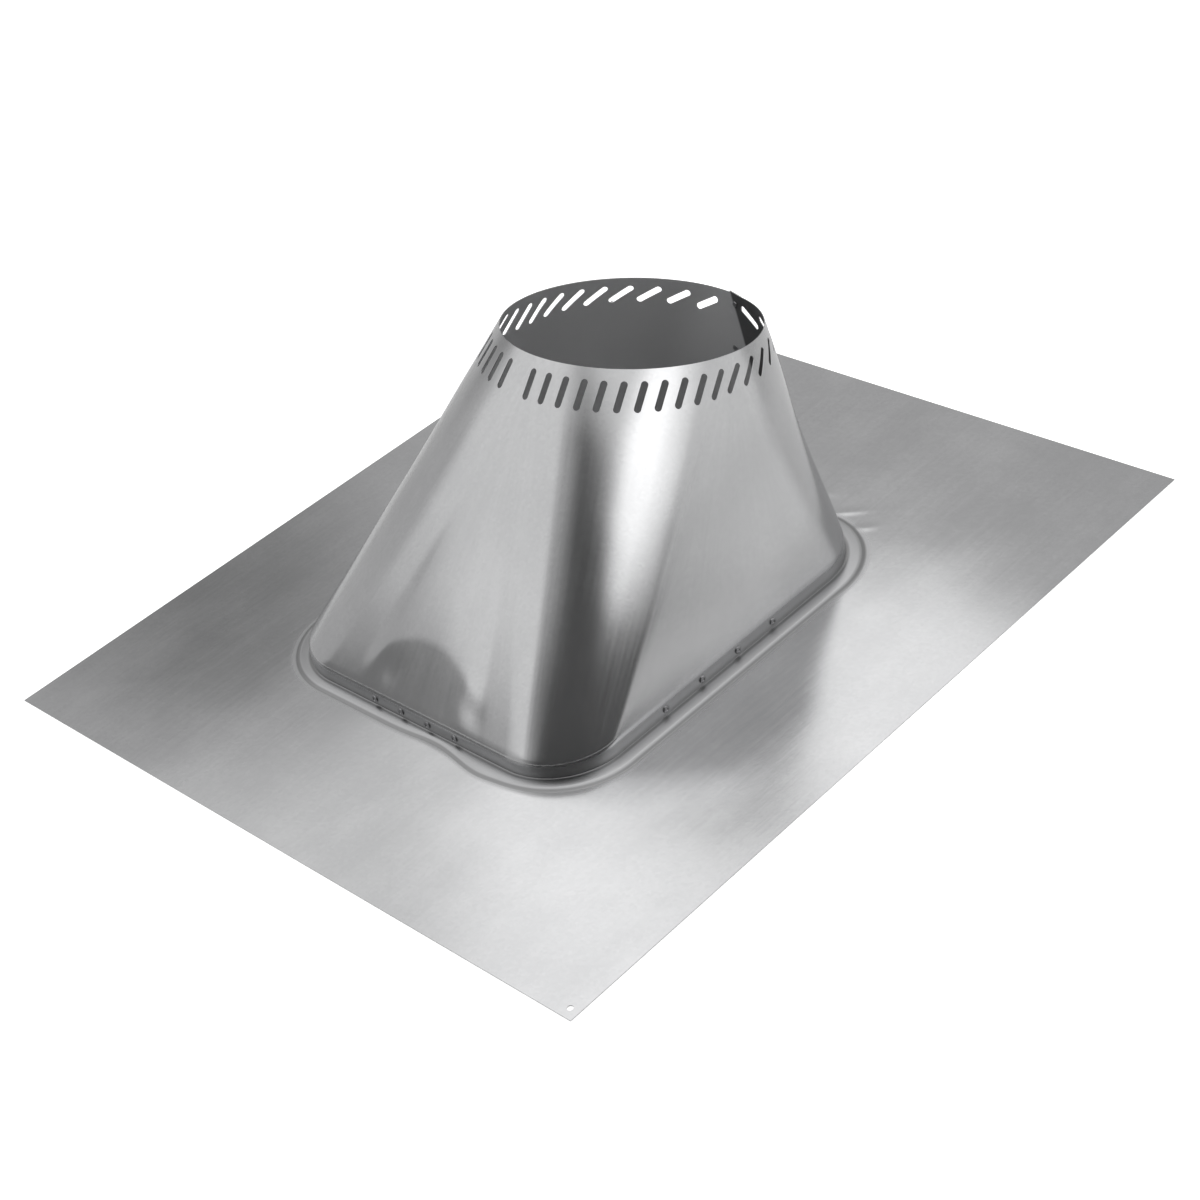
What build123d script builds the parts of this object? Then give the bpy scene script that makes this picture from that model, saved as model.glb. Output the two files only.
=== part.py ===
from build123d import *
from math import atan2, cos, degrees, radians, sin, tan
import os

# A vented roof flashing for a round chimney pipe: a flat base sheet with a raised bead and an
# upturned rim round its opening, and an oblique sheet cone riveted over that rim.
# X runs across the slope, Y runs up the slope and Z stands off the roof deck.
# The origin is at the centre of the base sheet's underside. Millimetres and degrees.

# Sheet metal
sheet = 0.6
sheet_gap = 0.2

# Base sheet
plate_width = 686.0
plate_length = 772.0
hang_hole = 5.0
hang_hole_margin = 9.0

# Cone foot, a rounded rectangle that lies down the slope from the middle of the base sheet
foot_width = 352.0
foot_length = 396.0
foot_corner = 65.0
foot_shift = -21.0
collar_height = 14.0

# Bead round the opening, and how far the upturned rim stays below the collar's fold
bead_margin = 16.0
bead_height = 3.5
bead_ramp = 4.0
rim_below_fold = 1.5

# Mouth of the cone: a circle that leans up the slope
mouth_radius = 113.0
mouth_offset = 123.0
mouth_height = 221.0
mouth_lean = 13.2

# Vent slots, all cut parallel in the flat sheet before it is rolled
slot_length = 27.0
slot_width = 6.0
slot_pitch = 16.0
slot_margin = 10.0
centre_gap = 28.5
seam_clear = 9.0
sheet_turn = 61.0
turn_growth = 1.5
punch_reach = 12.0

# Lap seam where the two ends of the rolled sheet meet, and its corner that stands proud
seam_azimuth = 84.0
lap_width = 15.0
lap_corner_rise = 1.6
lap_ply_share = 0.5

# Rivets
rivet_shank = 3.2
rivet_head = 7.0
rivet_head_rise = 1.3
rivet_tail = 5.0
rivet_tail_rise = 1.0
rivet_clearance = 0.1
drill_reach = 7.0
front_rivet_pitch = 33.0
side_rivet_pitch = 45.0
side_rivet_shift = -9.0
rivets_per_side = 4
seam_rivet_count = 5
seam_rivet_first = 9.0
seam_rivet_play = 0.15

# Levels and places worked out from the driving dimensions
bead_top = sheet + bead_height
collar_base = bead_top + sheet_gap
fold_height = collar_base + collar_height
rim_top = fold_height - rim_below_fold
rivet_height = (collar_base + rim_top) / 2
foot_centre = Vector(0, foot_shift, 0)
mouth_centre = Vector(0, foot_shift + mouth_offset, mouth_height)
mouth_axis = Vector(0, sin(radians(mouth_lean)), cos(radians(mouth_lean)))
pattern_centre = seam_azimuth - 180.0


def foot_block(inset, bottom, top):
    """Upright block with the cone foot's outline, drawn in by the inset."""
    outline = Pos(foot_centre.X, foot_centre.Y, bottom) * RectangleRounded(
        foot_width - 2 * inset, foot_length - 2 * inset, foot_corner - inset
    )
    return extrude(outline, top - bottom)


def bead_block(low_inset, low, high_inset, high):
    """Tapered block under or over the bead's ramp."""
    outlines = [
        Pos(foot_centre.X, foot_centre.Y, level) * RectangleRounded(
            foot_width - 2 * inset, foot_length - 2 * inset, foot_corner - inset
        )
        for inset, level in ((low_inset, low), (high_inset, high))
    ]
    return loft(outlines, ruled=True)


def mouth_point(azimuth, inset=0.0, rise=0.0):
    """Point on the mouth circle, azimuth measured from +X towards +Y."""
    angle = radians(azimuth)
    across = Vector(cos(angle), 0, 0)
    up_slope = Vector(0, cos(radians(mouth_lean)), -sin(radians(mouth_lean))) * sin(angle)
    return mouth_centre + (across + up_slope) * (mouth_radius - inset) + mouth_axis * rise


def foot_point(azimuth, quarter, inset=0.0, drop=0.0):
    """Point on one corner arc of the fold line, where the wall starts to lean."""
    side_x = 1 if quarter in (0, 3) else -1
    side_y = 1 if quarter in (0, 1) else -1
    radius = foot_corner - inset
    angle = radians(azimuth)
    return Vector(
        side_x * (foot_width / 2 - foot_corner) + radius * cos(angle),
        foot_shift + side_y * (foot_length / 2 - foot_corner) + radius * sin(angle),
        fold_height - drop,
    )


def cone_block(inset=0.0, drop=0.0, rise=0.0):
    """Solid under the cone wall: four flat triangles and four oblique conical corners."""
    arcs = []
    for quarter in range(4):
        stops = [90 * quarter, 90 * quarter + 45, 90 * quarter + 90]
        mouth = ThreePointArc(*[mouth_point(a, inset, rise) for a in stops])
        foot = ThreePointArc(*[foot_point(a, quarter, inset, drop) for a in stops])
        arcs.append((mouth, foot))
    faces = []
    top_edges = []
    low_edges = []
    for quarter, (mouth, foot) in enumerate(arcs):
        next_foot = arcs[(quarter + 1) % 4][1]
        tip = mouth @ 1
        side = Line(foot @ 1, next_foot @ 0)
        faces.append(Face.make_surface_from_curves(mouth.edge(), foot.edge()))
        faces.append(Face(Wire([Line(tip, side @ 0).edge(), side.edge(), Line(side @ 1, tip).edge()])))
        top_edges.append(mouth.edge())
        low_edges += [foot.edge(), side.edge()]
    faces.append(Face(Wire(top_edges)))
    faces.append(Face(Wire(low_edges)))
    return Solid(Shell(faces))


def wall_frame(azimuth):
    """Mouth point with the wall's three directions there: along the rim, down the wall, outwards."""
    quarter = int((azimuth % 360) // 90)
    point = mouth_point(azimuth)
    half_step = 0.5
    along = (mouth_point(azimuth + half_step) - mouth_point(azimuth - half_step)).normalized()
    ruling = foot_point(azimuth, quarter) - point
    down = (ruling - along * ruling.dot(along)).normalized()
    return point, along, down, down.cross(along)


def slot_cutters():
    """Prisms for the vent slots, placed as a gang punch leaves them.

    The slots are parallel and evenly spaced in the flat sheet. Once it is rolled, each one leans
    from the wall's own direction by as much as the sheet has turned since its centre line.
    """
    cutters = []
    for side in (1, -1):
        travel = centre_gap / 2
        while degrees(travel / mouth_radius) < 180 - seam_clear:
            half_turn = travel / mouth_radius / 2
            lean = radians(sheet_turn) * sin(half_turn) ** turn_growth
            azimuth = pattern_centre + side * degrees(travel / mouth_radius)
            point, along, down, outward = wall_frame(azimuth)
            depth = slot_margin + slot_length / 2 * cos(lean)
            slot_axis = down * cos(lean) - along * side * sin(lean)
            plane = Plane(origin=point + down * depth, x_dir=slot_axis, z_dir=outward)
            outline = plane * SlotOverall(slot_length, slot_width)
            cutters.append(extrude(outline, punch_reach, both=True))
            lean_rate = lean * turn_growth / tan(half_turn) / 2 / mouth_radius
            travel += slot_pitch / cos(lean) / (1 + depth * lean_rate)
    return cutters


def lap_edges():
    """X of the lap's two edges at the mouth: the visible inner end and the outer end."""
    inner_end = mouth_point(seam_azimuth).X
    return inner_end, inner_end + lap_width


def lap_wedge():
    """Slab that cuts the lap's strip out of the back wall, one top corner left standing proud."""
    inner_end, outer_end = lap_edges()
    back = foot_shift + foot_length / 2
    rim = mouth_point(seam_azimuth).Z
    profile = Polygon(
        (inner_end, fold_height),
        (outer_end, fold_height),
        (outer_end, rim),
        (inner_end, rim + 2 * lap_corner_rise),
        align=None,
    )
    depth = 2 * mouth_radius
    slab = extrude(Plane.XZ * profile, -depth)
    return Pos(0, back - mouth_radius / 2, 0) * slab


def seam_stations():
    """Points and outward normals down the middle of the lap, on its outer face."""
    skin = cone_block(inset=-sheet * lap_ply_share, rise=lap_corner_rise)
    middle = sum(lap_edges()) / 2
    rim = mouth_point(seam_azimuth).Z
    last = fold_height + seam_rivet_first
    stations = []
    for index in range(seam_rivet_count):
        height = rim - seam_rivet_first - (rim - seam_rivet_first - last) * index / (seam_rivet_count - 1)
        ray = Axis(Vector(middle, foot_shift, height), Vector(0, 1, 0))
        point, normal = max(skin.find_intersection_points(ray), key=lambda hit: hit[0].Y)
        stations.append((point, normal if normal.Y > 0 else normal * -1))
    return stations


def foot_stations():
    """Rivet points and outward normals on the collar's four straight sides."""
    stations = []
    steps = [i - (rivets_per_side - 1) / 2 for i in range(rivets_per_side)]
    for sign in (-1, 1):
        for step in steps:
            across = Vector(step * front_rivet_pitch, sign * foot_length / 2, rivet_height)
            lengthways = Vector(
                sign * foot_width / 2, side_rivet_shift + step * side_rivet_pitch, rivet_height
            )
            stations.append((across + foot_centre, Vector(0, sign, 0)))
            stations.append((lengthways + foot_centre, Vector(sign, 0, 0)))
    return stations


def rivet(point, normal, grip):
    """Blind rivet seated on the outer sheet, its tail spread against the inner sheet."""
    seat = Plane(origin=point, z_dir=normal)
    dome_radius = (rivet_head ** 2 / 4 + rivet_head_rise ** 2) / (2 * rivet_head_rise)
    dome = Pos(0, 0, rivet_head_rise - dome_radius) * Sphere(dome_radius)
    head = dome & Pos(0, 0, rivet_head_rise / 2) * Cylinder(rivet_head, rivet_head_rise)
    shank = Pos(0, 0, -grip / 2) * Cylinder(rivet_shank / 2, grip)
    tail = Pos(0, 0, -grip - rivet_tail_rise / 2) * Cone(
        rivet_shank / 2, rivet_tail / 2, rivet_tail_rise
    )
    return seat * (head + shank + tail)


def rivet_hole(point, normal):
    """Drilled hole for one rivet, through every sheet within reach."""
    drill = Cylinder(rivet_shank / 2 + rivet_clearance, 2 * drill_reach)
    return Plane(origin=point, z_dir=normal) * drill


def base_sheet():
    """Flat plate, raised bead and upturned rim, drawn in one sheet."""
    ramp_angle = atan2(bead_height, bead_ramp)
    mitre = sheet * tan(ramp_angle / 2)
    rim_inset = sheet + sheet_gap
    bead_inset = -bead_margin + bead_ramp
    outside = Pos(0, 0, sheet / 2) * Box(plate_width, plate_length, sheet)
    outside += bead_block(-bead_margin, sheet, bead_inset, bead_top)
    outside += foot_block(rim_inset, bead_height, rim_top)
    inside = bead_block(mitre - bead_margin, 0, mitre + bead_inset, bead_height)
    inside += foot_block(rim_inset + sheet, bead_height, rim_top)
    hole_x = plate_width / 2 - hang_hole_margin
    hole_y = hang_hole_margin - plate_length / 2
    hole = Pos(hole_x, hole_y, sheet / 2) * Cylinder(hang_hole / 2, 2 * sheet)
    drills = [rivet_hole(point, normal) for point, normal in foot_stations()]
    return outside - inside - hole - drills


def cone():
    """Collar, leaning wall with its vent slots, and the riveted lap seam, rolled from one sheet."""
    drop = sheet * tan(radians(mouth_lean))
    outside = cone_block() + foot_block(0, collar_base, fold_height)
    inside = cone_block(inset=sheet, drop=drop) + foot_block(sheet, collar_base, fold_height - drop)
    ply = sheet * lap_ply_share
    lap = cone_block(inset=-ply, rise=lap_corner_rise) - cone_block(
        inset=sheet + ply, drop=drop, rise=lap_corner_rise
    )
    body = outside - inside + (lap & lap_wedge())
    drills = [rivet_hole(point, normal) for point, normal in foot_stations() + seam_stations()]
    return body - slot_cutters() - drills


def foot_rivets():
    """Rivets that hold the collar to the base sheet's upturned rim."""
    grip = 2 * sheet + sheet_gap
    return Compound([rivet(point, normal, grip) for point, normal in foot_stations()])


def seam_rivets():
    """Rivets that close the lap."""
    grip = 2 * sheet + seam_rivet_play
    return Compound([rivet(point, normal, grip) for point, normal in seam_stations()])


os.makedirs("parts", exist_ok=True)
for name, maker in (
    ("base_sheet", base_sheet),
    ("cone", cone),
    ("foot_rivets", foot_rivets),
    ("seam_rivets", seam_rivets),
):
    part = maker()
    export_step(part, f"parts/{name}.step")
    print(name, len(part.solids()), "solids", round(part.volume, 1), "mm3")
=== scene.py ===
import bpy
from math import atan2, cos, exp, pi, radians, sin, sqrt, tan
from mathutils import Matrix, Vector, noise
from mathutils.bvhtree import BVHTree
from mathutils.interpolate import poly_3d_calc


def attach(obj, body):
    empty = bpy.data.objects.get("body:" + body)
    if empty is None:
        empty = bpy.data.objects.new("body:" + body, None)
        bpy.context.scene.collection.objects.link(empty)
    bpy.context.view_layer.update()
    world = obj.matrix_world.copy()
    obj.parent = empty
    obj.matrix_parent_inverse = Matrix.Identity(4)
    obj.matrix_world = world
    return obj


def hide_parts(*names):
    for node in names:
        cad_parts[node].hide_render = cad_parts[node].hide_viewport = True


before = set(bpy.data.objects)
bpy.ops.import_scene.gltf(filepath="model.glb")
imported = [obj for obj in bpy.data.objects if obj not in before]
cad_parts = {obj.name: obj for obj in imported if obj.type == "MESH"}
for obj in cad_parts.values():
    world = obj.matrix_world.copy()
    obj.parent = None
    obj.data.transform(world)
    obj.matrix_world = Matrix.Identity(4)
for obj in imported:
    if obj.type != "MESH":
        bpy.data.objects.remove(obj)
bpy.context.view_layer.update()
scene = bpy.context.scene
print("stage: frame loaded")

# Sizes of the solids, in metres, as the part's source has them
sheetMetal = {"thickness": 0.0006, "gap": 0.0002}
plate = {"width": 0.686, "length": 0.772, "hangHole": 0.005, "hangMargin": 0.009}
foot = {"width": 0.352, "length": 0.396, "corner": 0.065, "shift": -0.021}
bead = {"margin": 0.016, "height": 0.0035, "ramp": 0.004, "crown": 0.0007, "blend": 0.001, "bend": 0.002}
collar = {"height": 0.014, "foldRadius": 0.0035, "rimBelowFold": 0.0015, "seat": 0.00003}
mouth = {"radius": 0.113, "offset": 0.123, "height": 0.221, "lean": radians(13.2)}

beadTop = sheetMetal["thickness"] + bead["height"]
beadStart = bead["margin"] + bead["blend"]
collarBase = beadTop + sheetMetal["gap"]
foldHeight = collarBase + collar["height"]
rimTop = foldHeight - collar["rimBelowFold"]
footCentre = Vector((0, foot["shift"], 0))
mouthCentre = Vector((0, foot["shift"] + mouth["offset"], mouth["height"]))
mouthUp = Vector((0, cos(mouth["lean"]), -sin(mouth["lean"])))
smoothAngle = radians(32)


def deselectAll():
    if bpy.context.object and bpy.context.object.mode != "OBJECT":
        bpy.ops.object.mode_set(mode="OBJECT")
    bpy.ops.object.select_all(action="DESELECT")


def work(piece):
    deselectAll()
    piece.select_set(True)
    bpy.context.view_layer.objects.active = piece


def edit(piece, wanted=None):
    # Opens a piece in edit mode with the faces picked by their centre and normal
    work(piece)
    bpy.ops.object.mode_set(mode="EDIT")
    bpy.ops.mesh.select_mode(type="FACE")
    bpy.ops.mesh.select_all(action="SELECT" if wanted is None else "DESELECT")
    if wanted is not None:
        bpy.ops.object.mode_set(mode="OBJECT")
        for face in piece.data.polygons:
            face.select = wanted(face.center, face.normal)
        bpy.ops.object.mode_set(mode="EDIT")


def closeEdit():
    bpy.ops.object.mode_set(mode="OBJECT")


def smooth(low, high, value):
    share = min(max((value - low) / (high - low), 0.0), 1.0)
    return share * share * (3 - 2 * share)


def bell(distance, width):
    return exp(-(distance / width) ** 2)


def turnBetween(angle, other):
    # The short way round from one direction to another
    return atan2(sin(angle - other), cos(angle - other))


def inGroup(vertex, groupIndex):
    return any(group.group == groupIndex and group.weight > 0.5 for group in vertex.groups)


# Camera, at the photograph's viewing angle
view = {
    "place": Vector((1.34238, -1.09841, 1.22782)),
    "look": Vector((-0.62911, 0.51632, -0.58106)),
    "up": Vector((-0.30536, 0.52327, 0.79558)),
    "lens": 72.34,
}


def makeCamera():
    camera = bpy.data.objects.new("camera", bpy.data.cameras.new("camera"))
    scene.collection.objects.link(camera)
    back = -view["look"].normalized()
    right = view["up"].cross(back).normalized()
    up = back.cross(right)
    turned = Matrix((right, up, back)).transposed().to_4x4()
    camera.matrix_world = Matrix.Translation(view["place"]) @ turned
    camera.data.sensor_width = 36.0
    camera.data.lens = view["lens"]
    scene.camera = camera


makeCamera()
print("stage: camera placed")


# The folded shapes: where a point of the sheet lies
def mouthPoint(azimuth):
    across = Vector((cos(azimuth), 0, 0))
    return mouthCentre + (across + mouthUp * sin(azimuth)) * mouth["radius"]


def cornerPoint(quarter, angle, margin, height):
    sideX = 1 if quarter in (0, 3) else -1
    sideY = 1 if quarter in (0, 1) else -1
    radius = foot["corner"] + margin
    return Vector((
        sideX * (foot["width"] / 2 - foot["corner"]) + radius * cos(angle),
        foot["shift"] + sideY * (foot["length"] / 2 - foot["corner"]) + radius * sin(angle),
        height,
    ))


# Columns and rows of the two sheets, and what the cone's own map measures
coneGrid = {
    "cornerColumns": 36, "flatColumns": 48, "wallRows": 72, "foldRows": 6, "collarRows": 8,
    "mapWidth": 1.2, "mapHeight": 0.3,
}
plateGrid = {"cornerColumns": 64, "flatColumns": 36, "plateRows": 48, "cornerReach": 0.30, "crowding": 1.35}


def makeStations(cornerColumns, flatColumns):
    # Walks once round the foot: corner arcs, then the straight side after each
    stations = []
    for quarter in range(4):
        start = quarter * pi / 2
        for index in range(cornerColumns):
            angle = start + pi / 2 * index / cornerColumns
            stations.append((quarter, angle, 0.0))
        for index in range(flatColumns):
            stations.append((quarter, start + pi / 2, index / flatColumns))
    stations.append(stations[0])
    return stations


def stationFoot(station, margin, height):
    quarter, angle, along = station
    point = cornerPoint(quarter, angle, margin, height)
    if along:
        point = point.lerp(cornerPoint((quarter + 1) % 4, angle, margin, height), along)
    return point


def outwardAt(station):
    angle = station[1]
    return Vector((cos(angle), sin(angle), 0))


# Small departures from the true surface, as the real sheet shows
wear = {
    "waist": 0.0030, "waistAzimuth": radians(45), "waistAllRound": 0.35, "waistReach": 1.1,
    "panelSlant": 0.311, "bulgeSlope": 0.055, "bulgeHeight": 0.060, "bulgeCentre": 0.50, "bulgeReach": 0.36,
    "bulgeFall": 0.15, "bulgeEnds": 0.5,
    "ridge": 0.0007, "ridgeAzimuth": radians(286), "ridgeWidth": 0.013, "ridgeStart": (0.02, 0.2),
    "ripple": 0.00035, "rippleScale": 14.0, "rippleStart": (0.0, 0.15), "rippleEnd": (1.0, 0.85),
}


def waistDepth(share, point):
    # The rolled wall draws in half way down, most of all at the back right corner
    centre = mouthCentre.lerp(footCentre, share)
    around = turnBetween(atan2(point.y - centre.y, point.x), wear["waistAzimuth"])
    drawn = wear["waistAllRound"] + (1 - wear["waistAllRound"]) * bell(around, wear["waistReach"])
    return -wear["waist"] * sin(pi * share) ** 2 * drawn


def frontBulge(along, share):
    # The front panel stands out at its foot, under a low arch
    away = (1 - share) * wear["panelSlant"]
    arch = max(1 - ((along - wear["bulgeCentre"]) / wear["bulgeReach"]) ** 2, 0.0)
    top = wear["bulgeHeight"] * sqrt(arch)
    fall = 1 - smooth(top, top + wear["bulgeFall"], away)
    return wear["bulgeSlope"] * min(away, top) * fall * smooth(0.0, wear["bulgeEnds"], arch)


def wallOffset(station, share, point):
    quarter, angle, along = station
    offset = waistDepth(share, point)
    if quarter == 2 and along:
        offset += frontBulge(along, share) + frontDents(along, share)
    turn = turnBetween(angle, wear["ridgeAzimuth"])
    radius = mouth["radius"] * (1 - share) + foot["corner"] * share
    ridge = wear["ridge"] * exp(-abs(turn) * radius / wear["ridgeWidth"])
    offset += ridge * smooth(*wear["ridgeStart"], share)
    ripple = wear["ripple"] * noise.noise(point * wear["rippleScale"])
    offset += ripple * smooth(*wear["rippleStart"], share) * smooth(*wear["rippleEnd"], share)
    return offset + cornerBow(station, share)


# Two shallow dents that the rivets pulled into the front panel, just above the fold
dents = {
    "depth": -0.0009, "share": 0.93, "rise": 0.035, "edge": 0.97, "reach": 0.045, "places": (0.33, 0.80),
}


def frontDents(along, share):
    level = bell(share - dents["share"], dents["rise"]) * smooth(1.0, dents["edge"], share)
    return dents["depth"] * level * sum(bell(along - place, dents["reach"]) for place in dents["places"])


# Hand forming leaves soft waves in the front right corner, which die out towards the side panel.
# Each wave has its count of half turns across the corner and down the wall, and its depth
cornerWaves = {
    "reach": 1.5, "fadeStart": 0.40, "fadeEnd": 0.74,
    "waves": (
        (1, 1, -0.0007), (2, 2, -0.0009), (3, 1, -0.0009),
        (4, 1, -0.0007), (4, 2, 0.0009), (5, 2, -0.0009),
    ),
}


def cornerBow(station, share):
    quarter, angle, along = station
    if quarter != 3:
        return 0.0
    width = (mouth["radius"] * (1 - share) + foot["corner"] * share) * pi / 2
    across = (angle - 3 * pi / 2) / (pi / 2)
    if along:
        across = 1 + along * (foot["length"] - 2 * foot["corner"]) * share / width
    across /= cornerWaves["reach"]
    if across >= 1:
        return 0.0
    depth = 0.0
    for acrossTurns, downTurns, size in cornerWaves["waves"]:
        depth += size * sin(acrossTurns * pi * across) * sin(downTurns * pi * share)
    fade = smooth(cornerWaves["fadeEnd"], cornerWaves["fadeStart"], across)
    return depth * (1 + cos(pi * across)) / 2 * fade


def wrapGrid(name, columns, rows, place):
    # A grid primitive is rolled up: each vertex goes where its column and row belong
    deselectAll()
    bpy.ops.mesh.primitive_grid_add(x_subdivisions=columns, y_subdivisions=rows, size=1.0)
    piece = bpy.context.object
    piece.name = piece.data.name = name
    piece.data.uv_layers[0].name = "sheet"
    for vertex in piece.data.vertices:
        column = round((vertex.co.x + 0.5) * columns)
        row = round((0.5 - vertex.co.y) * rows)
        vertex.co = place(column, row)
    edit(piece)
    bpy.ops.mesh.remove_doubles(threshold=1e-6)
    bpy.ops.mesh.normals_make_consistent(inside=False)
    closeEdit()
    return piece


# Cone
lap = {
    "azimuth": radians(84), "width": 0.015, "rise": 0.0016, "rimReach": 0.03, "step": 0.0002, "ease": 0.035,
}
slots = {
    "length": 0.027, "width": 0.006, "pitch": 0.016, "margin": 0.010, "centreGap": 0.0285,
    "seamClear": radians(9), "turn": radians(61), "growth": 1.5, "reach": 0.012, "roundness": 24,
}


def conePlace(column, row):
    station = coneStations[column]
    top = mouthPoint(station[1])
    fold = stationFoot(station, 0.0, foldHeight)
    ruling = fold - top
    normal = wallNormals[column]
    foldShare = 1 - collar["foldRadius"] / ruling.length
    if row <= coneGrid["wallRows"]:
        share = foldShare * row / coneGrid["wallRows"]
        point = top + ruling * share
        return point + normal * wallOffset(station, share, point)
    above = top + ruling * foldShare
    above += normal * wallOffset(station, foldShare, above)
    below = fold - Vector((0, 0, collar["foldRadius"]))
    row -= coneGrid["wallRows"]
    if row <= coneGrid["foldRows"]:
        turn = row / coneGrid["foldRows"]
        return above.lerp(fold, turn).lerp(fold.lerp(below, turn), turn)
    drop = (row - coneGrid["foldRows"]) / coneGrid["collarRows"]
    return below.lerp(stationFoot(station, 0.0, beadTop + collar["seat"]), drop)


def findWallNormals():
    normals = []
    last = len(coneStations) - 1
    for column in range(last + 1):
        station = coneStations[column]
        top = mouthPoint(station[1])
        fold = stationFoot(station, 0.0, foldHeight)
        angle = station[1]
        alongFoot = Vector((-sin(angle), cos(angle), 0))
        normal = alongFoot.cross(top - fold).normalized()
        normals.append(normal if normal.dot(outwardAt(station)) > 0 else -normal)
    return normals


def lapEdges():
    innerEnd = mouthPoint(lap["azimuth"]).x
    return innerEnd, innerEnd + lap["width"]


def cutLapLines(cone):
    innerEnd, outerEnd = lapEdges()
    for x in (innerEnd - lap["step"], innerEnd, outerEnd, outerEnd + lap["step"]):
        edit(cone, lambda centre, normal: centre.y > mouthCentre.y and abs(centre.x - x) < 0.02)
        bpy.ops.mesh.bisect(plane_co=(x, 0, 0), plane_no=(1, 0, 0))
        closeEdit()


def shapeLap(cone):
    # Beside the lap the sheet runs on one ply further in, and one corner of the lap stands proud
    innerEnd, outerEnd = lapEdges()
    innerGroup = cone.vertex_groups["inner"].index
    rimHeight = mouthPoint(lap["azimuth"]).z
    near = 1e-5
    for vertex in cone.data.vertices:
        x = vertex.co.x
        if vertex.co.y < mouthCentre.y or x < innerEnd - near or x > outerEnd + 2 * lap["ease"]:
            continue
        if inGroup(vertex, innerGroup) or x > outerEnd + near:
            vertex.co.y -= sheetMetal["thickness"] * (1 - smooth(outerEnd, outerEnd + lap["ease"], x))
        if x <= outerEnd + near:
            proud = max(1 - (x - innerEnd) / lap["width"], 0.0)
            vertex.co.z += lap["rise"] * proud * smooth(lap["rimReach"], 0.0, rimHeight - vertex.co.z)


def thicken(piece, thickness, offset):
    piece.vertex_groups.new(name="inner")
    work(piece)
    solidify = piece.modifiers.new("thickness", "SOLIDIFY")
    solidify.thickness = thickness
    solidify.offset = offset
    solidify.use_even_offset = True
    solidify.shell_vertex_group = "inner"
    bpy.ops.object.modifier_apply(modifier="thickness")


def slotPlaces():
    # The slots are parallel in the flat sheet, so each leans by as much as the sheet has turned
    places = []
    halfStep = radians(0.5)
    for side in (1, -1):
        travel = slots["centreGap"] / 2
        while travel / mouth["radius"] < pi - slots["seamClear"]:
            halfTurn = travel / mouth["radius"] / 2
            lean = slots["turn"] * sin(halfTurn) ** slots["growth"]
            azimuth = lap["azimuth"] - pi + side * travel / mouth["radius"]
            point = mouthPoint(azimuth)
            along = (mouthPoint(azimuth + halfStep) - mouthPoint(azimuth - halfStep)).normalized()
            quarter = int((azimuth % (2 * pi)) // (pi / 2))
            ruling = cornerPoint(quarter, azimuth, 0.0, foldHeight) - point
            down = (ruling - along * ruling.dot(along)).normalized()
            outward = down.cross(along)
            depth = slots["margin"] + slots["length"] / 2 * cos(lean)
            axis = down * cos(lean) - along * side * sin(lean)
            turned = Matrix((axis, outward.cross(axis), outward)).transposed().to_4x4()
            places.append(Matrix.Translation(point + down * depth) @ turned)
            leanRate = lean * slots["growth"] / tan(halfTurn) / 2 / mouth["radius"]
            travel += slots["pitch"] / cos(lean) / (1 + depth * leanRate)
    return places


def makeSlotCutters():
    deselectAll()
    bpy.ops.mesh.primitive_cylinder_add(
        vertices=slots["roundness"], radius=slots["width"] / 2, depth=2 * slots["reach"]
    )
    punch = bpy.context.object
    edit(punch)
    bpy.ops.transform.rotate(value=pi / slots["roundness"], orient_axis="Z", center_override=(0, 0, 0))
    closeEdit()
    stretch = (slots["length"] - slots["width"]) / 2
    for vertex in punch.data.vertices:
        vertex.co.x += stretch if vertex.co.x > 0 else -stretch
    punches = []
    for place in slotPlaces():
        copy = bpy.data.objects.new("punch", punch.data.copy())
        scene.collection.objects.link(copy)
        copy.data.transform(place)
        punches.append(copy)
    bpy.data.objects.remove(punch)
    deselectAll()
    for copy in punches:
        copy.select_set(True)
    bpy.context.view_layer.objects.active = punches[0]
    bpy.ops.object.join()
    return bpy.context.object


def punchOut(piece, cutter):
    work(piece)
    boolean = piece.modifiers.new("punch", "BOOLEAN")
    boolean.operation = "DIFFERENCE"
    boolean.solver = "MANIFOLD"
    boolean.object = cutter
    bpy.ops.object.modifier_apply(modifier="punch")
    bpy.data.objects.remove(cutter)


# How near and how alike a cut face is to the uncut sheet when it belongs to its skin
skin = {"gap": 0.0001, "alike": 0.7, "inset": 0.02, "shortest": 0.5, "forward": 0.3}


def keepSheetNormals(piece, uncut):
    # The skins round the cut slots keep the shading of the sheet before it was cut
    source = uncut.data
    tree = BVHTree.FromPolygons(
        [vertex.co for vertex in source.vertices], [face.vertices[:] for face in source.polygons]
    )
    corners = [corner.vector.copy() for corner in source.corner_normals]
    mesh = piece.data
    normals = [None] * len(mesh.loops)
    for face in mesh.polygons:
        spot, spotNormal, index, gap = tree.find_nearest(face.center)
        onSkin = gap < skin["gap"] and spotNormal.dot(face.normal) > skin["alike"]
        for loop in face.loop_indices:
            normals[loop] = face.normal.copy()
            if not onSkin:
                continue
            corner = mesh.vertices[mesh.loops[loop].vertex_index].co.lerp(face.center, skin["inset"])
            spot, spotNormal, index, gap = tree.find_nearest(corner)
            below = source.polygons[index]
            places = [source.vertices[vertex].co for vertex in below.vertices]
            weights = poly_3d_calc(places, spot)
            blend = Vector()
            for share, belowLoop in zip(weights, below.loop_indices):
                blend += corners[belowLoop] * share
            if blend.length > skin["shortest"] and blend.dot(face.normal) > skin["forward"]:
                normals[loop] = blend.normalized()
    mesh.normals_split_custom_set(normals)


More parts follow.
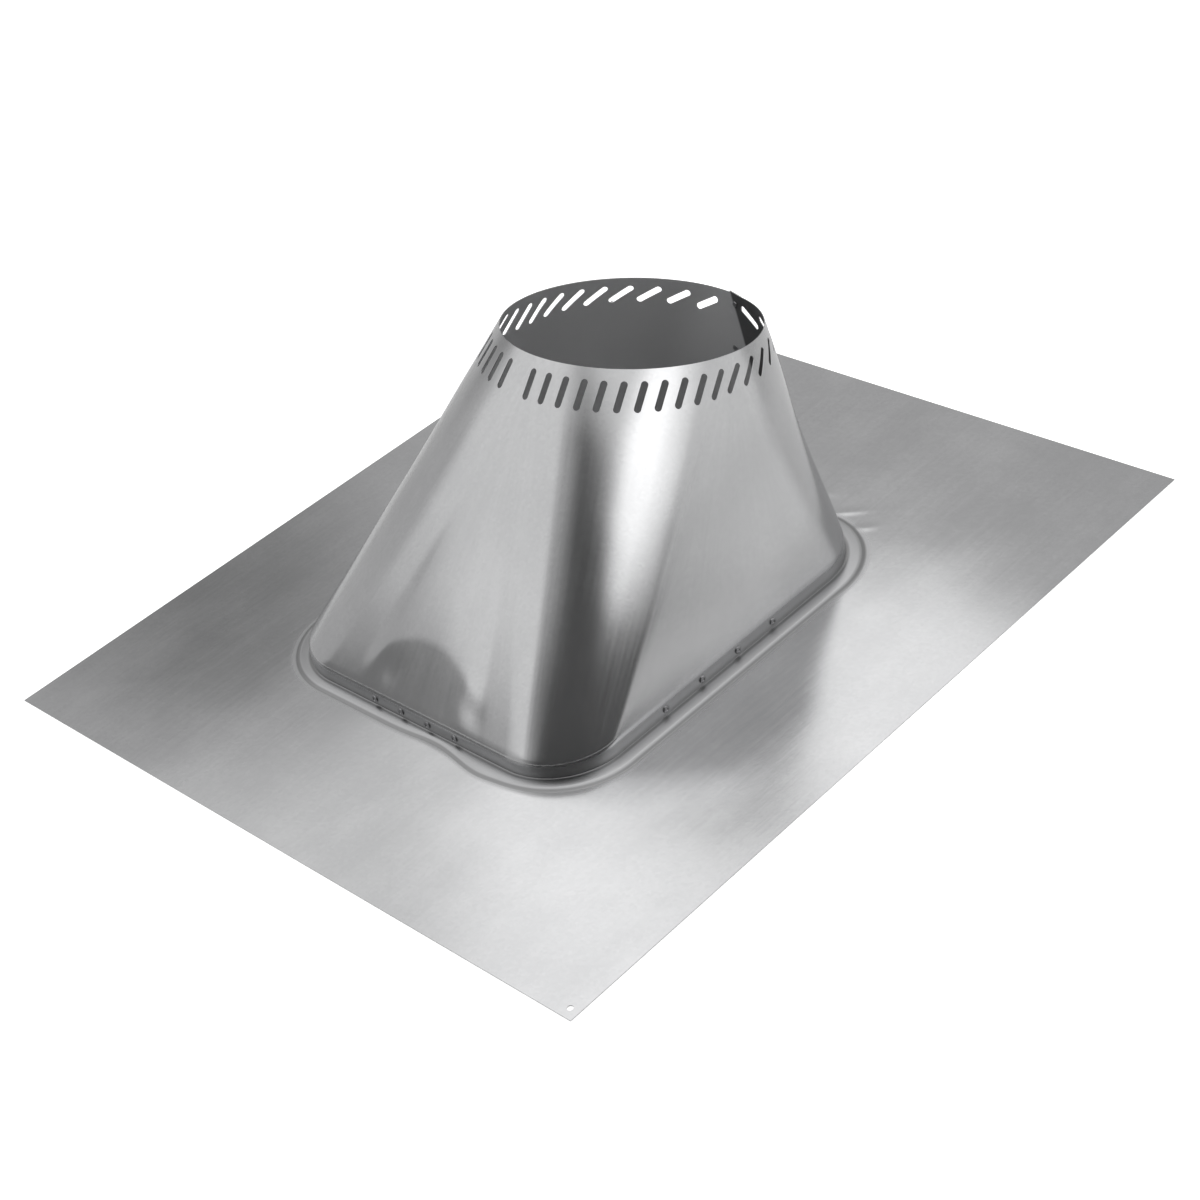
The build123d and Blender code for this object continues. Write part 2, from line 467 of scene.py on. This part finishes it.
def markInside(piece):
    # A face attribute tells the sheet's back from its front
    groupIndex = piece.vertex_groups["inner"].index
    inner = [inGroup(vertex, groupIndex) for vertex in piece.data.vertices]
    marks = piece.data.attributes.new("inside", "FLOAT", "FACE")
    for face in piece.data.polygons:
        marks.data[face.index].value = 1.0 if all(inner[index] for index in face.vertices) else 0.0
    piece.vertex_groups.clear()


def scaleSheetMap(piece, width, height):
    for corner in piece.data.uv_layers["sheet"].data:
        corner.uv.x *= width
        corner.uv.y *= height


coneStations = makeStations(coneGrid["cornerColumns"], coneGrid["flatColumns"])
wallNormals = findWallNormals()


def makeCone():
    rows = coneGrid["wallRows"] + coneGrid["foldRows"] + coneGrid["collarRows"]
    cone = wrapGrid("coneSheet", len(coneStations) - 1, rows, conePlace)
    scaleSheetMap(cone, coneGrid["mapWidth"], coneGrid["mapHeight"])
    cutLapLines(cone)
    thicken(cone, sheetMetal["thickness"], -1.0)
    shapeLap(cone)
    markInside(cone)
    work(cone)
    bpy.ops.object.shade_smooth_by_angle(angle=smoothAngle)
    uncut = bpy.data.objects.new("uncut", cone.data.copy())
    scene.collection.objects.link(uncut)
    punchOut(cone, makeSlotCutters())
    keepSheetNormals(cone, uncut)
    bpy.data.objects.remove(uncut)
    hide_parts("cone")
    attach(cone, "root")
    return cone


coneSheet = makeCone()
print("stage: cone rolled and punched,", len(coneSheet.data.polygons), "faces")


# Base sheet
def platePoint(station):
    # The plate's edge opposite a station: the corners meet the middles of the foot's arcs
    quarter, angle, along = station
    halfX = plate["width"] / 2
    halfY = plate["length"] / 2
    start = quarter * pi / 2
    position = (angle - start) / (pi / 2)
    signs = ((1, 1), (-1, 1), (-1, -1), (1, -1))
    corners = [Vector((signX * halfX, signY * halfY, 0)) for signX, signY in signs]
    reach = plateGrid["cornerReach"]
    here = corners[quarter]
    before = corners[(quarter - 1) % 4]
    after = corners[(quarter + 1) % 4]
    if along:
        return here.lerp(after, reach / 2 + (1 - reach) * along)
    if position < 0.5:
        return here.lerp(before, reach * (0.5 - position))
    return here.lerp(after, reach * (position - 0.5))


# The press left three short wrinkles beside the bead's back right corner, each from one spot to another
wrinkles = {
    "rise": 0.00030, "width": 0.0042, "fadeIn": -0.5, "fadeOut": 0.3,
    "lines": (
        ((0.080, 0.211), (0.106, 0.236)), ((0.112, 0.196), (0.146, 0.222)), ((0.139, 0.183), (0.165, 0.204)),
    ),
}


def wrinkleRise(x, y):
    rise = 0.0
    for (startX, startY), (endX, endY) in wrinkles["lines"]:
        stepX = endX - startX
        stepY = endY - startY
        length = sqrt(stepX ** 2 + stepY ** 2)
        along = ((x - startX) * stepX + (y - startY) * stepY) / length ** 2
        aside = ((x - startX) * stepY - (y - startY) * stepX) / length
        fade = smooth(1.0, wrinkles["fadeOut"], along) * smooth(wrinkles["fadeIn"], 0.0, along)
        rise += bell(aside, wrinkles["width"]) * fade
    return wrinkles["rise"] * rise


# The lying sheet isn't quite flat: it rises a little from its edge and runs in soft waves. Each wave has
# its height, its count per metre and its own layer of the noise
plateWaves = {
    "rise": 0.0008, "wide": (0.0007, 5.5, 3.1), "narrow": (0.00025, 14.0, 7.7), "edge": (-0.01, 0.12),
}


def plateRise(x, y):
    rise = plateWaves["rise"]
    for height, scale, layer in (plateWaves["wide"], plateWaves["narrow"]):
        rise += height * noise.noise(Vector((x * scale, y * scale, layer)))
    edge = min(plate["width"] / 2 - abs(x), plate["length"] / 2 - abs(y))
    return rise * smooth(*plateWaves["edge"], edge) + wrinkleRise(x, y)


# The bead's outer edge wanders: pressed narrower along the front, with a jog before the corner
jog = {
    "narrow": 0.0045, "dip": 0.0038, "dipPlace": 0.63, "dipReach": 0.13,
    "full": 0.0045, "fullPlace": 0.90, "fullReach": 0.12, "cornerRun": 0.3,
}


def beadMargin(station, margin):
    quarter, angle, along = station
    pastFront = angle - 3 * pi / 2
    if quarter == 2 and along:
        inward = jog["narrow"] + jog["dip"] * bell(along - jog["dipPlace"], jog["dipReach"])
        inward -= jog["full"] * bell(along - jog["fullPlace"], jog["fullReach"])
    else:
        inward = jog["narrow"] * smooth(pi / 2, 0, abs(turnBetween(angle, 3 * pi / 2)))
    if quarter == 3 and not along:
        inward -= jog["full"] * bell(1 - jog["fullPlace"] + pastFront * jog["cornerRun"], jog["fullReach"])
    return margin - inward * smooth(0.0, bead["margin"], margin)


def basePlace(column, row):
    # Rows run from the plate's edge over the bead and up the rim inside the collar
    station = plateStations[column]
    thickness = sheetMetal["thickness"]
    if row <= plateGrid["plateRows"]:
        share = 1 - (1 - row / plateGrid["plateRows"]) ** plateGrid["crowding"]
        edge = platePoint(station)
        beadFoot = stationFoot(station, beadMargin(station, beadStart), 0.0)
        point = edge.lerp(beadFoot, share)
        point.z = thickness + plateRise(point.x, point.y)
        return point
    step = row - plateGrid["plateRows"]
    margin, height = beadProfile[step - 1]
    point = stationFoot(station, beadMargin(station, margin), height)
    start = stationFoot(station, beadMargin(station, beadStart), 0.0)
    point.z += plateRise(start.x, start.y) * (1 - smooth(0, bead["height"], height - thickness))
    return point


def makeBeadProfile():
    # Margin and height of each row: ramp, crowned top, bend and upturned rim
    thickness = sheetMetal["thickness"]
    rimMargin = -thickness - sheetMetal["gap"]
    profile = []
    rampSteps = 8
    for index in range(1, rampSteps + 1):
        share = index / rampSteps
        margin = beadStart - (bead["ramp"] + 2 * bead["blend"]) * share
        profile.append((margin, thickness + (bead["height"] - bead["crown"]) * smooth(0, 1, share)))
    topStart = profile[-1][0]
    topEnd = rimMargin + bead["bend"]
    topSteps = 8
    for index in range(1, topSteps + 1):
        share = index / topSteps
        margin = topStart + (topEnd - topStart) * share
        profile.append((margin, beadTop - bead["crown"] * (1 - share) ** 2))
    bendSteps = 4
    for index in range(1, bendSteps + 1):
        turn = pi / 2 * index / bendSteps
        profile.append((topEnd - bead["bend"] * sin(turn), beadTop + bead["bend"] * (1 - cos(turn))))
    profile.append((rimMargin, (beadTop + bead["bend"] + rimTop) / 2))
    profile.append((rimMargin, rimTop))
    return profile


beadProfile = makeBeadProfile()
plateStations = makeStations(plateGrid["cornerColumns"], plateGrid["flatColumns"])


def makeBase():
    rows = plateGrid["plateRows"] + len(beadProfile)
    base = wrapGrid("baseSheet", len(plateStations) - 1, rows, basePlace)
    thicken(base, sheetMetal["thickness"], -1.0)
    markInside(base)
    deselectAll()
    bpy.ops.mesh.primitive_cylinder_add(
        vertices=32, radius=plate["hangHole"] / 2, depth=0.02,
        location=(plate["width"] / 2 - plate["hangMargin"], plate["hangMargin"] - plate["length"] / 2, 0),
    )
    drill = bpy.context.object
    drill.data.transform(drill.matrix_world)
    drill.matrix_world = Matrix()
    punchOut(base, drill)
    work(base)
    bpy.ops.object.shade_smooth_by_angle(angle=smoothAngle)
    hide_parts("base_sheet")
    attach(base, "root")
    return base


baseSheet = makeBase()
print("stage: base sheet drawn,", len(baseSheet.data.polygons), "faces")


# Shader maths
class Wire:
    # One socket of a material's nodes, with the operators that the recipes use
    def __init__(self, tree, socket):
        self.tree = tree
        self.socket = socket

    def node(self, kind, settings=None, **inputs):
        made = self.tree.nodes.new(kind)
        for key, value in (settings or {}).items():
            setattr(made, key, value)
        for key, value in inputs.items():
            target = made.inputs[int(key[1:]) if key[0] == "_" else key]
            if isinstance(value, Wire):
                self.tree.links.new(value.socket, target)
            else:
                target.default_value = value
        return made

    def out(self, kind, settings=None, output=0, **inputs):
        return Wire(self.tree, self.node(kind, settings, **inputs).outputs[output])

    def math(self, operation, first, second=0.0):
        return self.out("ShaderNodeMath", {"operation": operation}, _0=first, _1=second)

    def __add__(self, other):
        return self.math("ADD", self, other)

    def __radd__(self, other):
        return self.math("ADD", other, self)

    def __sub__(self, other):
        return self.math("SUBTRACT", self, other)

    def __rsub__(self, other):
        return self.math("SUBTRACT", other, self)

    def __mul__(self, other):
        return self.math("MULTIPLY", self, other)

    def __rmul__(self, other):
        return self.math("MULTIPLY", other, self)

    def ramp(self, low, high, start=0.0, end=1.0):
        return self.out(
            "ShaderNodeMapRange", {"interpolation_type": "SMOOTHSTEP"},
            _0=self, _1=low, _2=high, _3=start, _4=end,
        )

    def dot(self, direction):
        return self.out(
            "ShaderNodeVectorMath", {"operation": "DOT_PRODUCT"}, output=1, _0=self, _1=direction
        )

    def stretched(self, scale):
        return self.out("ShaderNodeVectorMath", {"operation": "MULTIPLY"}, _0=self, _1=scale)

    def grain(self, scale, detail=2.0, rough=0.5):
        return self.out(
            "ShaderNodeTexNoise", None, Vector=self, Scale=scale, Detail=detail, Roughness=rough
        )

    def cells(self, scale):
        cell = self.node("ShaderNodeTexVoronoi", None, Vector=self, Scale=scale)
        return Wire(self.tree, cell.outputs["Color"])

    def mix(self, share, first, second):
        return self.out(
            "ShaderNodeMix", {"data_type": "RGBA"}, output=2, _0=share, _6=first, _7=second
        )


def newMaterial(name):
    material = bpy.data.materials.new(name)
    material.use_nodes = True
    tree = material.node_tree
    tree.nodes.clear()
    return material, Wire(tree, None)


def finishMaterial(wire, colour, roughness, bumpHeight, bumpSize, metallic):
    bump = wire.out("ShaderNodeBump", None, Strength=1.0, Distance=bumpSize, Height=bumpHeight)
    shader = wire.node("ShaderNodeBsdfPrincipled", None, Metallic=metallic)
    for key, value in (("Base Color", colour), ("Roughness", roughness), ("Normal", bump)):
        wire.tree.links.new(value.socket, shader.inputs[key])
    output = wire.node("ShaderNodeOutputMaterial")
    wire.tree.links.new(shader.outputs[0], output.inputs[0])


# Galvanised sheet: tones, roughness and how fine each pattern is, in repeats per metre
sheetFinish = {
    "pale": (0.66, 0.662, 0.668), "dull": (0.56, 0.562, 0.568), "toneRange": (0.45, 1.0),
    "formed": (0.50, 0.502, 0.508), "formedShare": 0.8, "coneForm": (0.036, 0.028), "baseForm": (0.37, 0.33),
    # crease is a painted shade colour for the bead's outer foot and the collar groove
    "crease": (0.26, 0.26, 0.262), "creaseShare": (0.75, 0.8),
    "beadFoot": (0.330, 0.312), "beadSide": (0.235, 0.27), "groove": (0.125, 0.095),
    "inside": (0.52, 0.522, 0.53), "insideMetallic": 0.45, "insideRoughness": 0.30,
    # shade is a painted shade colour for the cone's inside, right of the lap
    "shade": (0.10, 0.10, 0.102), "shadeSlant": (1, 0, 0.40), "shadeStart": (0.0899, 0.0929),
    "shadeBack": (0.35, 1, 0), "shadeReach": (0.02, 0.10),
    "clouds": 9.0, "streaks": 260.0, "wideStreaks": 30.0, "streakStretch": (1.0, 0.03, 1.0),
    "spangle": 330.0, "spangleGrey": (0.5, 0.3, 0.2), "scratches": 900.0,
    "roughness": 0.175, "cloudRoughness": 0.08, "streakRoughness": 0.06, "formedRoughness": 0.16,
    "bump": 0.00002,
}


def sheetRows(wire):
    # The sheet's own map runs across its rows, from the free edge to the fold
    return wire.out("ShaderNodeUVMap", {"uv_map": "sheet"}).dot((0, 1, 0))


def paintedCreaseShade(wire):
    # Painted shade: a darker colour along the bead's outer foot and in the groove at the collar, where shade
    # falls
    finish = sheetFinish
    rows = sheetRows(wire)
    outerLine = rows.ramp(*finish["beadFoot"]) * rows.ramp(*finish["beadSide"])
    groove = rows.ramp(*finish["groove"])
    lineShare, grooveShare = finish["creaseShare"]
    return outerLine * lineShare + groove * grooveShare


def shadeBehindLap(wire, place):
    # Painted shade: right of the lap the inside is coloured dark, standing in for the lap's shadow
    finish = sheetFinish
    shade = place.dot(finish["shadeSlant"]).ramp(*finish["shadeStart"])
    return shade * place.dot(finish["shadeBack"]).ramp(*finish["shadeReach"])


def makeSheetMaterial(name, onCone):
    finish = sheetFinish
    material, wire = newMaterial(name)
    place = wire.out("ShaderNodeTexCoord", None, output=3)
    sheetMap = wire.out("ShaderNodeUVMap", {"uv_map": "sheet"}) if onCone else place
    rolled = sheetMap.stretched(finish["streakStretch"])
    formed = sheetRows(wire).ramp(*finish["coneForm" if onCone else "baseForm"])
    clouds = place.grain(finish["clouds"], 3.0, 0.55)
    streaks = rolled.grain(finish["streaks"], 3.0, 0.6)
    wideStreaks = rolled.grain(finish["wideStreaks"], 2.0, 0.5)
    spangle = place.cells(finish["spangle"]).dot(finish["spangleGrey"])
    tone = clouds * 0.8 + streaks * 0.15 + wideStreaks * 0.25 + spangle * 0.15
    colour = wire.mix(tone.ramp(*finish["toneRange"]), (*finish["dull"], 1), (*finish["pale"], 1))
    colour = wire.mix(formed * finish["formedShare"], colour, (*finish["formed"], 1))
    backColour = (*finish["inside"], 1)
    if onCone:
        # Painted shade on the cone's inside, right of the lap
        backColour = wire.mix(shadeBehindLap(wire, place), backColour, (*finish["shade"], 1))
    else:
        # Painted shade darkens the plate along the bead's foot and in the collar groove
        colour = wire.mix(paintedCreaseShade(wire), colour, (*finish["crease"], 1))
    inside = wire.out("ShaderNodeAttribute", {"attribute_name": "inside"}, output=2)
    colour = wire.mix(inside, colour, backColour)
    roughness = finish["roughness"] + (clouds - 0.5) * finish["cloudRoughness"]
    roughness = roughness + (streaks - 0.5) * finish["streakRoughness"]
    roughness = roughness + formed * finish["formedRoughness"] + inside * finish["insideRoughness"]
    metallic = 1.0 - inside * (1.0 - finish["insideMetallic"])
    height = streaks * 0.6 + spangle * 0.25 + place.grain(finish["scratches"], 2.0, 0.5) * 0.3
    finishMaterial(wire, colour, roughness, height, finish["bump"], metallic)
    return material


coneSheet.data.materials.clear()
coneSheet.data.materials.append(makeSheetMaterial("zincOnCone", True))
baseSheet.data.materials.clear()
baseSheet.data.materials.append(makeSheetMaterial("zincOnPlate", False))
print("stage: sheet finished")


# Blind rivets
rivet = {
    "head": 0.0070, "rise": 0.0013, "flange": 0.0004, "dimple": 0.0030, "dimpleDepth": 0.0006,
    "mandrel": 0.0018, "edge": 0.0001, "shank": 0.0032,
    "tail": 0.0050, "tailStart": 0.0006, "tailEnd": 0.0010, "tailEdge": 0.0003,
    "domeSteps": 7, "segments": 32, "smoothAngle": radians(35),
    "frontPitch": 0.033, "sidePitch": 0.045, "sideShift": -0.009, "perSide": 4,
    "seamCount": 5, "seamMargin": 0.009, "turn": 1.7,
    "pale": (0.46, 0.46, 0.47), "dull": (0.34, 0.34, 0.35), "worn": (0.20, 0.197, 0.195),
    "mottle": 1400.0, "spots": 420.0, "spotRange": (0.48, 0.66), "roughness": 0.28, "bump": 0.00001,
}


def rivetProfile():
    # Radius and height from the pulled mandrel's stub out over the dome, down the shank to the tail
    half = rivet["head"] / 2
    stub = rivet["mandrel"] / 2
    dimple = rivet["dimple"] / 2
    depth = rivet["dimpleDepth"]
    profile = [
        (0.0, rivet["rise"] - depth * 0.6),
        (stub - rivet["edge"], rivet["rise"] - depth * 0.6),
        (stub, rivet["rise"] - depth * 0.75),
        (stub + rivet["edge"], rivet["rise"] - depth),
        (dimple - rivet["edge"], rivet["rise"] - depth * 0.4),
    ]
    for index in range(rivet["domeSteps"] + 1):
        turn = index / rivet["domeSteps"] * pi / 2
        radius = dimple + (half - dimple) * sin(turn)
        profile.append((radius, rivet["flange"] + (rivet["rise"] - rivet["flange"]) * cos(turn)))
    grip = 2 * sheetMetal["thickness"] + sheetMetal["gap"]
    profile += [
        (half, 0.0),
        (rivet["shank"] / 2, 0.0),
        (rivet["shank"] / 2, -grip),
        (rivet["tail"] / 2, -grip - rivet["tailStart"]),
        (rivet["tail"] / 2 - rivet["tailEdge"], -grip - rivet["tailEnd"]),
        (0.0, -grip - rivet["tailEnd"]),
    ]
    return profile


def makeRivet():
    # A profile spun once round the rivet's axis
    deselectAll()
    profile = rivetProfile()
    mesh = bpy.data.meshes.new("rivet")
    mesh.from_pydata(
        [(radius, 0, height) for radius, height in profile],
        [(index, index + 1) for index in range(len(profile) - 1)], [],
    )
    piece = bpy.data.objects.new("rivet", mesh)
    scene.collection.objects.link(piece)
    work(piece)
    bpy.ops.object.mode_set(mode="EDIT")
    bpy.ops.mesh.select_mode(type="VERT")
    bpy.ops.mesh.select_all(action="SELECT")
    bpy.ops.mesh.spin(steps=rivet["segments"], angle=2 * pi, center=(0, 0, 0), axis=(0, 0, 1))
    bpy.ops.mesh.select_all(action="SELECT")
    bpy.ops.mesh.remove_doubles(threshold=2e-6)
    bpy.ops.mesh.normals_make_consistent(inside=False)
    closeEdit()
    bpy.ops.object.shade_smooth_by_angle(angle=rivet["smoothAngle"])
    return piece


def seatFrame(point, normal):
    normal = normal.normalized()
    side = Vector((0, 0, 1)).cross(normal).normalized()
    return Matrix.Translation(point) @ Matrix((side, normal.cross(side), normal)).transposed().to_4x4()


def footSeats():
    seats = []
    level = (collarBase + rimTop) / 2
    for sign in (-1, 1):
        for index in range(rivet["perSide"]):
            step = index - (rivet["perSide"] - 1) / 2
            across = Vector((step * rivet["frontPitch"], sign * foot["length"] / 2, level))
            along = rivet["sideShift"] + step * rivet["sidePitch"]
            lengthways = Vector((sign * foot["width"] / 2, along, level))
            seats.append(seatFrame(across + footCentre, Vector((0, sign, 0))))
            seats.append(seatFrame(lengthways + footCentre, Vector((sign, 0, 0))))
    return seats


def seamSeats():
    # Down the middle of the lap, each seated square to the sheet
    mesh = coneSheet.data
    tree = BVHTree.FromPolygons(
        [vertex.co for vertex in mesh.vertices], [face.vertices[:] for face in mesh.polygons]
    )
    middle = sum(lapEdges()) / 2
    top = mouthPoint(lap["azimuth"]).z - rivet["seamMargin"]
    bottom = foldHeight + rivet["seamMargin"]
    seats = []
    for index in range(rivet["seamCount"]):
        height = top + (bottom - top) * index / (rivet["seamCount"] - 1)
        point, normal, face, gap = tree.ray_cast(Vector((middle, 0.5, height)), Vector((0, -1, 0)))
        seats.append(seatFrame(point, normal))
    return seats


def plantRivets(name, seats, replaced):
    # One rivet modelled once, copied with its own mesh and turned a little each time
    pattern = makeRivet()
    copies = []
    for index, seat in enumerate(seats):
        copy = bpy.data.objects.new(name, pattern.data.copy())
        scene.collection.objects.link(copy)
        copy.data.transform(seat @ Matrix.Rotation(index * rivet["turn"], 4, "Z"))
        copies.append(copy)
    bpy.data.objects.remove(pattern)
    deselectAll()
    for copy in copies:
        copy.select_set(True)
    bpy.context.view_layer.objects.active = copies[0]
    bpy.ops.object.join()
    piece = bpy.context.object
    piece.name = piece.data.name = name
    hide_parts(replaced)
    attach(piece, "root")
    piece.data.materials.clear()
    piece.data.materials.append(makeRivetMaterial(name + "Steel"))
    return piece


def makeRivetMaterial(name):
    # Plated steel, mottled, with duller worn spots where the plating is thin
    material, wire = newMaterial(name)
    place = wire.out("ShaderNodeTexCoord", None, output=3)
    mottle = place.grain(rivet["mottle"], 3.0, 0.6)
    wornSpots = place.grain(rivet["spots"], 2.0, 0.5).ramp(*rivet["spotRange"])
    colour = wire.mix(mottle, (*rivet["dull"], 1), (*rivet["pale"], 1))
    colour = wire.mix(wornSpots * 0.5, colour, (*rivet["worn"], 1))
    roughness = rivet["roughness"] + (mottle - 0.5) * 0.12 + wornSpots * 0.10
    height = mottle + wornSpots * 0.5
    finishMaterial(wire, colour, roughness, height, rivet["bump"], 1.0)
    return material


footRivets = plantRivets("footRivets", footSeats(), "foot_rivets")
seamRivets = plantRivets("seamRivets", seamSeats(), "seam_rivets")
print("stage: rivets planted,", len(footRivets.data.polygons) + len(seamRivets.data.polygons), "faces")


# Floor and studio
studio = {
    "floor": (0.90, 0.90, 0.90), "floorSize": 14.0, "floorBelow": 0.0004, "paper": (0.8, 0.8, 0.8),
    "paperGlow": 0.85, "tentRadius": 0.965, "tentCentre": Vector((0, 0, 0.1)), "cloth": 0.525,
}

# Brighter and darker places of the tent's cloth, each laid over those before it. An edge has the azimuth
# and elevation that it is measured from, and the cosines between which it fades
tentPatches = {
    "roof": {"glow": 0.89, "edges": (((-97, 80.5), (0.422, 0.559)),)},
    "rearPanel": {"glow": 1.29, "edges": (((119.5, 58.7), (0.859, 0.908)),)},
    "rearShade": {"glow": 0.26, "edges": (((130, 45.8), (0.992, 0.998)),)},
    "leftShade": {"glow": 0.0, "edges": (((172, 22), (0.94, 1.06)),)},
    "sidePanel": {
        "glow": 2.8, "edges": (
            ((95, 43.8), (0.126, 0.194)), ((-55.4, 0), (-0.08, 1.05)), ((0, 90), (0.82, 0.68)),
        ),
    },
    "lowShade": {"glow": 0.24, "edges": (((-126.8, 5), (0.973, 0.984)),)},
    "rightShade": {"glow": 0.66, "edges": (((51, 48), (0.88, 0.97)),)},
    "rightGlow": {"glow": 0.82, "edges": (((38, 4), (0.93, 0.985)),)},
    "opening": {"glow": 0.08, "edges": (((95, 43.8), (0.278, 0.124)), ((16, 0), (-0.384, -0.018)))},
}


def makeFloor():
    # White paper to the camera, and a plain pale floor to light and to the metal
    deselectAll()
    bpy.ops.mesh.primitive_plane_add(size=studio["floorSize"], location=(0, 0, -studio["floorBelow"]))
    floor = bpy.context.object
    floor.name = "floor"
    material, wire = newMaterial("paleFloor")
    material.cycles.emission_sampling = "NONE"
    seen = wire.out("ShaderNodeLightPath", None, output=0)  # Is Camera Ray
    matt = wire.node("ShaderNodeBsdfDiffuse", None, Color=(*studio["floor"], 1))
    paper = wire.node("ShaderNodeBsdfDiffuse", None, Color=(*studio["paper"], 1))
    glow = wire.node("ShaderNodeEmission", None, Color=(1, 1, 1, 1), Strength=studio["paperGlow"])
    bright = wire.node("ShaderNodeAddShader")
    wire.tree.links.new(paper.outputs[0], bright.inputs[0])
    wire.tree.links.new(glow.outputs[0], bright.inputs[1])
    choice = wire.node("ShaderNodeMixShader", None, _0=seen)
    wire.tree.links.new(matt.outputs[0], choice.inputs[1])
    wire.tree.links.new(bright.outputs[0], choice.inputs[2])
    output = wire.node("ShaderNodeOutputMaterial")
    wire.tree.links.new(choice.outputs[0], output.inputs[0])
    floor.data.materials.append(material)


def towards(azimuth, elevation):
    level = cos(radians(elevation))
    return Vector((level * cos(radians(azimuth)), level * sin(radians(azimuth)), sin(radians(elevation))))


def lightTent(wire):
    # How brightly the tent's cloth glows in each direction from its centre
    place = wire.out("ShaderNodeTexCoord", None, output=3)
    offset = wire.out("ShaderNodeVectorMath", {"operation": "SUBTRACT"}, _0=place, _1=studio["tentCentre"])
    toward = wire.out("ShaderNodeVectorMath", {"operation": "NORMALIZE"}, _0=offset)
    level = studio["cloth"]
    for patch in tentPatches.values():
        share = 1.0
        for (azimuth, elevation), fade in patch["edges"]:
            share = share * toward.dot(towards(azimuth, elevation)).ramp(*fade)
        level = level + share * (patch["glow"] - level)
    return level


def makeTent():
    # Metal is photographed in a light tent, here with a bright side panel and a dark opening
    deselectAll()
    bpy.ops.mesh.primitive_uv_sphere_add(segments=96, ring_count=48, radius=studio["tentRadius"])
    tent = bpy.context.object
    tent.name = "tent"
    tent.data.transform(Matrix.Translation(studio["tentCentre"]))
    tent.visible_camera = False
    material, wire = newMaterial("tentCloth")
    material.cycles.emission_sampling = "NONE"
    glow = wire.node("ShaderNodeEmission", None, Color=(1, 1, 1, 1), Strength=lightTent(wire))
    output = wire.node("ShaderNodeOutputMaterial")
    wire.tree.links.new(glow.outputs[0], output.inputs[0])
    tent.data.materials.append(material)


def makeBackdrop():
    world = bpy.data.worlds.new("backdrop")
    scene.world = world
    world.use_nodes = True
    world.node_tree.nodes["Background"].inputs["Color"].default_value = (1, 1, 1, 1)


makeFloor()
makeTent()
makeBackdrop()
scene.view_settings.view_transform = "Standard"
print("stage: studio lit")
